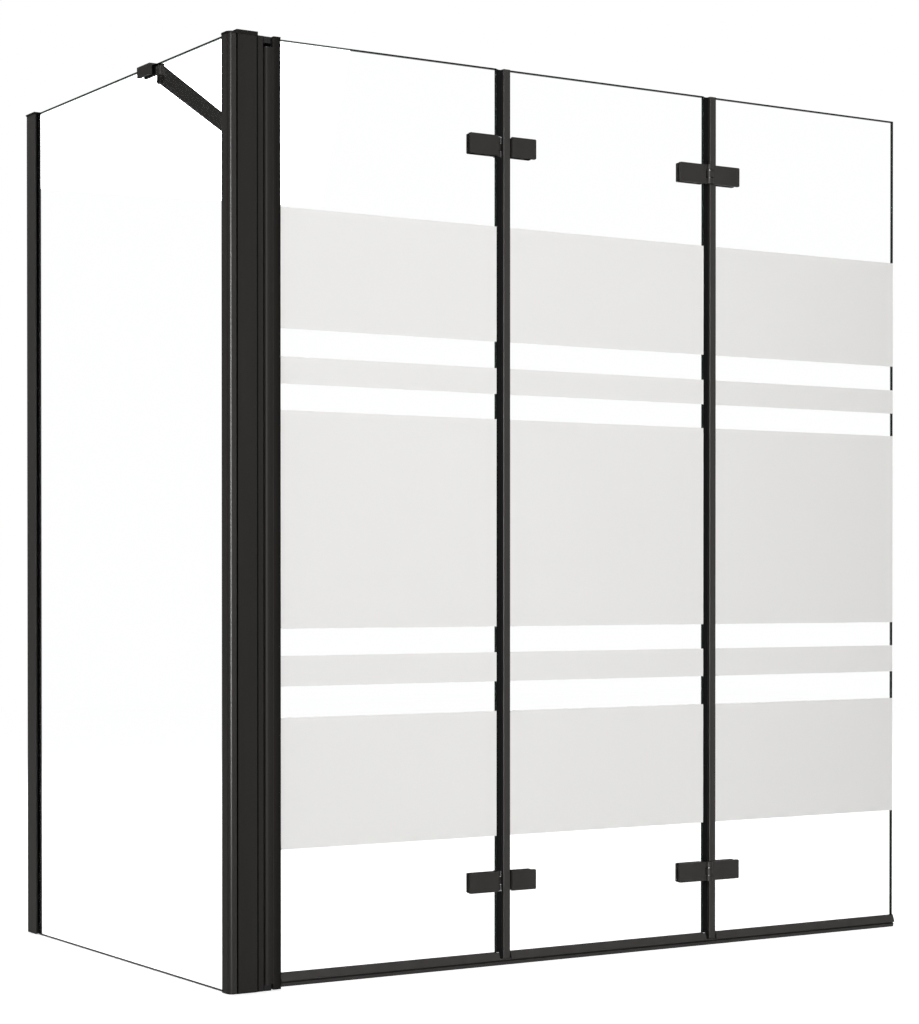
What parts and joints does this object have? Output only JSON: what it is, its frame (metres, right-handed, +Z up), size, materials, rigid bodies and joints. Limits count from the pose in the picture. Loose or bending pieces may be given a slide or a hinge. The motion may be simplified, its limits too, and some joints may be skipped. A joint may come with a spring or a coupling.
{
  "type": "bath screen",
  "caption": "Corner over-bath screen with a clear side pane, a wall stabiliser bar and folding panes with frosted bands on a pivot post.",
  "frame": {"origin": "on the back wall's plane, at the foot and middle of the wall profile, level with the tub rim", "axes": "+X along the folding front away from the corner, +Y to the back wall, +Z up"},
  "size_m": [1.284, 0.7715, 1.399],
  "materials": {
    "black_metal": "matte",
    "black_nylon": "satin",
    "black_rubber": "matte",
    "seam_seal": "satin",
    "dark_steel": "satin",
    "clear_glass": "polished",
    "clear_silicone": "satin",
    "white_enamel": "satin"
  },
  "bodies": {
    "frame": {"wall_profile": "black_metal", "wall_profile_cap": "black_metal", "wall_profile_seals": "black_rubber", "side_glass": "clear_glass", "side_glass_bed": "clear_silicone", "corner_post": "black_metal", "corner_post_cap": "black_metal", "corner_post_seals": "black_rubber", "screen_channel": "black_metal", "screen_channel_cap": "black_metal", "post_joining_screws": "dark_steel", "adjusting_profile": "black_metal", "adjusting_screws": "dark_steel", "pivot_bearing_top": "black_nylon", "pivot_bearing_bottom": "black_nylon", "pivot_pins": "dark_steel", "pivot_gap_seal": "black_rubber", "brace_clamp": "black_metal", "brace_clamp_pads": "black_rubber", "brace_clamp_screws": "dark_steel", "brace_swivel_pins": "dark_steel", "brace_bar": "black_metal", "brace_wall_flange": "black_metal"},
    "panel_1": {"pivot_profile": "black_metal", "pivot_profile_cap": "black_metal", "pivot_profile_seals": "black_rubber", "pivot_bushes": "black_nylon", "glass_1": "clear_glass", "frosted_bands_1": "white_enamel", "rail_1": "black_metal", "drip_lip_1": "black_rubber", "hinge_a_leaf_1": "black_metal", "hinge_a_plate_1": "black_metal", "hinge_pads_1": "black_rubber", "hinge_screws_1": "dark_steel", "hinge_a_pins": "dark_steel"},
    "panel_2": {"glass_2": "clear_glass", "frosted_bands_2": "white_enamel", "edge_seal_2": "seam_seal", "rail_2": "black_metal", "drip_lip_2": "black_rubber", "hinge_a_leaf_2": "black_metal", "hinge_a_plate_2": "black_metal", "hinge_b_leaf_2": "black_metal", "hinge_b_plate_2": "black_metal", "hinge_pads_2": "black_rubber", "hinge_screws_2": "dark_steel", "hinge_b_pins": "dark_steel"},
    "panel_3": {"glass_3": "clear_glass", "frosted_bands_3": "white_enamel", "edge_seal_3": "seam_seal", "rail_3": "black_metal", "drip_lip_3": "black_rubber", "rail_end_cap_3": "black_nylon", "hinge_b_leaf_3": "black_metal", "hinge_b_plate_3": "black_metal", "hinge_pads_3": "black_rubber", "hinge_screws_3": "dark_steel"}
  },
  "joints": [
    {"name": "panel_1_swing", "type": "hinge", "parent": "frame", "child": "panel_1", "pos_m": [0.059, -0.757, 0.7], "axis": [0, 0, 1], "range_deg": [-90, 30]},
    {"name": "panel_2_fold", "type": "hinge", "parent": "panel_1", "child": "panel_2", "pos_m": [0.466, -0.7485, 0.7], "axis": [0, 0, 1], "range_deg": [0, 180]},
    {"name": "panel_3_fold", "type": "hinge", "parent": "panel_2", "child": "panel_3", "pos_m": [0.87, -0.7655, 0.7], "axis": [0, 0, 1], "range_deg": [-180, 0]}
  ],
  "couplings": [
    {"joint": "panel_3_fold", "follows": "panel_2_fold", "ratio": -1}
  ]
}
